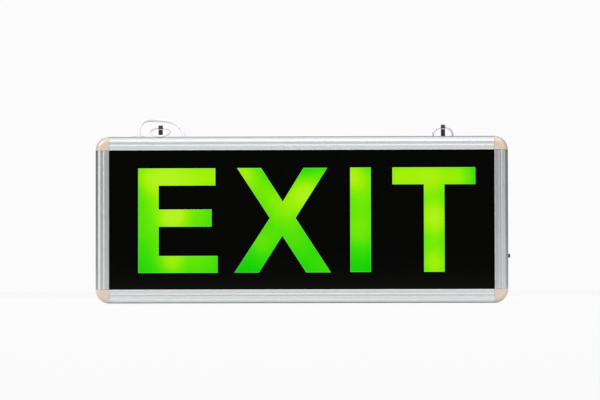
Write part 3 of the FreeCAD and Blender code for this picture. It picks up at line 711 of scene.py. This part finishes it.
def add_floor():
    """A pale floor that shows almost as the background does and keeps some of the shadow."""
    mesh = bpy.data.meshes.new("floor")
    half = FLOOR_SIZE / 2
    corners = [(-half, -half, 0), (half, -half, 0), (half, half, 0), (-half, half, 0)]
    mesh.from_pydata(corners, [], [(0, 1, 2, 3)])
    floor = bpy.data.objects.new("floor", mesh)
    bpy.context.scene.collection.objects.link(floor)
    material = bpy.data.materials.new("floor")
    material.use_nodes = True
    tree = material.node_tree
    shade = tree.nodes["Principled BSDF"]
    shade.inputs["Base Color"].default_value = linear(236, 236, 236)
    shade.inputs["Roughness"].default_value = 0.9
    shade.inputs["Specular IOR Level"].default_value = 0.1
    glow = tree.nodes.new("ShaderNodeEmission")
    glow.inputs["Color"].default_value = FLOOR_TINT
    path = tree.nodes.new("ShaderNodeLightPath")
    seen = tree.nodes.new("ShaderNodeMath")
    seen.operation = "MAXIMUM"
    tree.links.new(path.outputs["Is Camera Ray"], seen.inputs[0])
    tree.links.new(path.outputs["Is Transmission Ray"], seen.inputs[1])
    share = tree.nodes.new("ShaderNodeMath")
    share.operation = "MULTIPLY"
    share.inputs[1].default_value = FLOOR_SHOWN
    tree.links.new(seen.outputs[0], share.inputs[0])
    mixed = tree.nodes.new("ShaderNodeMixShader")
    tree.links.new(share.outputs[0], mixed.inputs[0])
    tree.links.new(shade.outputs[0], mixed.inputs[1])
    tree.links.new(glow.outputs[0], mixed.inputs[2])
    tree.links.new(mixed.outputs[0], tree.nodes["Material Output"].inputs["Surface"])
    mesh.materials.append(material)


# The studio's level all round, and its brighter patches. Each patch has the direction it lies in,
# its level, and the degrees from that direction within which it is full and beyond which it is gone.
ROOM = 0.17
STUDIO = [
    ((0.0, -1.0, 0.10), 0.14, 14, 50),
    ((0.0, -0.96, 0.28), 0.80, 5, 15),
    ((0.0, -0.88, 0.48), 0.50, 8, 32),
    ((0.0, -0.25, 1.00), 0.95, 20, 48),
    ((0.0, 0.75, 0.65), 0.10, 15, 45),
    ((-0.62, -0.78, 0.0), 1.15, 7, 21),
    ((0.62, -0.78, 0.0), 0.36, 6, 18),
    ((-0.15, 1.0, 0.0), 0.20, 6, 20),
    ((-0.62, -0.56, 0.56), 5.5, 6, 19),
    ((0.42, -0.56, 0.75), 2.0, 6, 18),
]
# A darker patch behind the camera, given in the same way by how much light it takes away.
LENS_SHADE = ((0.0, -1.0, 0.0), 0.75, 5, 10)


def add_world():
    """A white backdrop to look at, and for light and reflections a studio with soft patches."""
    world = bpy.data.worlds.new("studio")
    bpy.context.scene.world = world
    world.use_nodes = True
    tree = world.node_tree
    lit = tree.nodes["Background"]

    def add(kind, **settings):
        node = tree.nodes.new(kind)
        for key, value in settings.items():
            setattr(node, key, value)
        return node

    def combined(operation, first, second):
        node = add("ShaderNodeMath", operation=operation)
        for socket, value in zip(node.inputs, (first, second)):
            if isinstance(value, bpy.types.NodeSocket):
                tree.links.new(value, socket)
            else:
                socket.default_value = value
        return node.outputs[0]

    place = add("ShaderNodeTexCoord").outputs["Generated"]

    def patch(towards, level, full, gone):
        """A soft-edged disc of the sky round a direction, from 0 outside it to level inside."""
        dot = add("ShaderNodeVectorMath", operation="DOT_PRODUCT")
        tree.links.new(place, dot.inputs[0])
        dot.inputs[1].default_value = Vector(towards).normalized()
        node = add("ShaderNodeMapRange", interpolation_type="SMOOTHSTEP")
        tree.links.new(dot.outputs["Value"], node.inputs["Value"])
        node.inputs["From Min"].default_value = math.cos(math.radians(gone))
        node.inputs["From Max"].default_value = math.cos(math.radians(full))
        node.inputs["To Max"].default_value = level
        return node.outputs["Result"]

    total = ROOM
    for box in STUDIO:
        total = combined("ADD", total, patch(*box))
    shade = combined("SUBTRACT", 1.0, patch(*LENS_SHADE))
    lit.inputs["Color"].default_value = (1.0, 1.0, 1.0, 1.0)
    tree.links.new(combined("MULTIPLY", total, shade), lit.inputs["Strength"])
    seen = add("ShaderNodeBackground")
    seen.inputs["Color"].default_value = BACKGROUND
    seen.inputs["Strength"].default_value = 1.0
    path = add("ShaderNodeLightPath")
    rays = (path.outputs["Is Camera Ray"], path.outputs["Is Transmission Ray"])
    shown = combined("MAXIMUM", *rays)
    mixed = add("ShaderNodeMixShader")
    tree.links.new(shown, mixed.inputs[0])
    tree.links.new(lit.outputs[0], mixed.inputs[1])
    tree.links.new(seen.outputs[0], mixed.inputs[2])
    tree.links.new(mixed.outputs[0], tree.nodes["World Output"].inputs["Surface"])


# Where the softboxes point, and each one's place, width, height and power in watts.
LIT_POINT = Vector((0, 0, 0.07))
SOFTBOXES = {
    "softbox_left": ((-1.1, -1.3, 1.7), 1.4, 1.0, 14.0),
    "softbox_right": ((1.4, -1.0, 1.2), 1.0, 1.0, 5.0),
    "softbox_back": ((0.4, 1.7, 1.3), 1.2, 1.0, 12.0),
}


def add_softbox(name, place, width, height, power):
    """A soft lamp that the metal doesn't mirror, as the studio's patches are what it mirrors."""
    data = bpy.data.lights.new(name, "AREA")
    data.shape = "RECTANGLE"
    data.size = width
    data.size_y = height
    data.energy = power
    lamp = bpy.data.objects.new(name, data)
    lamp.visible_glossy = False
    bpy.context.scene.collection.objects.link(lamp)
    lamp.location = place
    aim = LIT_POINT - lamp.location
    lamp.rotation_euler = aim.to_track_quat("-Z", "Y").to_euler()


def add_lights():
    for name, settings in SOFTBOXES.items():
        add_softbox(name, *settings)


add_cord()
add_letters()
dress_nodes()
add_floor()
add_world()
add_lights()

bpy.context.scene.view_settings.view_transform = "Standard"
